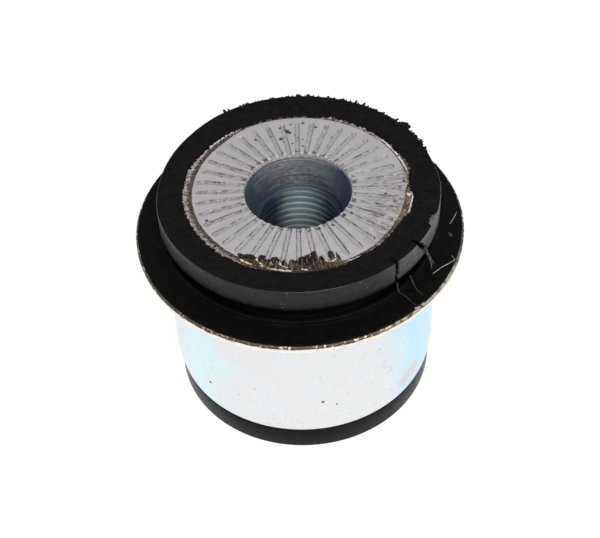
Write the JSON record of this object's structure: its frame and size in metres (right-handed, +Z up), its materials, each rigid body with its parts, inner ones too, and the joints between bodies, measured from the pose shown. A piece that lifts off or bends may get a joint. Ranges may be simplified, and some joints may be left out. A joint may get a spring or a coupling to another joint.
{
  "type": "engine mount",
  "caption": "Round bonded engine mount: a flanged steel sleeve, a rubber ring and foot, and a steel core with a serrated face and a threaded bore.",
  "frame": {"origin": "centre of the rubber foot's underside, on the surface the mount stands on", "axes": "+Z up along the mount's axis, from the foot to the serrated face; the mount is round about it"},
  "size_m": [0.06, 0.06, 0.0445],
  "materials": {
    "sleeve_zinc": "bright blue-white zinc plate",
    "core_zinc": "dull grey zinc plate",
    "black_rubber": "moulded, matte to satin"
  },
  "bodies": {
    "root": {"outer_sleeve": "sleeve_zinc", "inner_core": "core_zinc", "rubber_body": "black_rubber"}
  },
  "joints": []
}
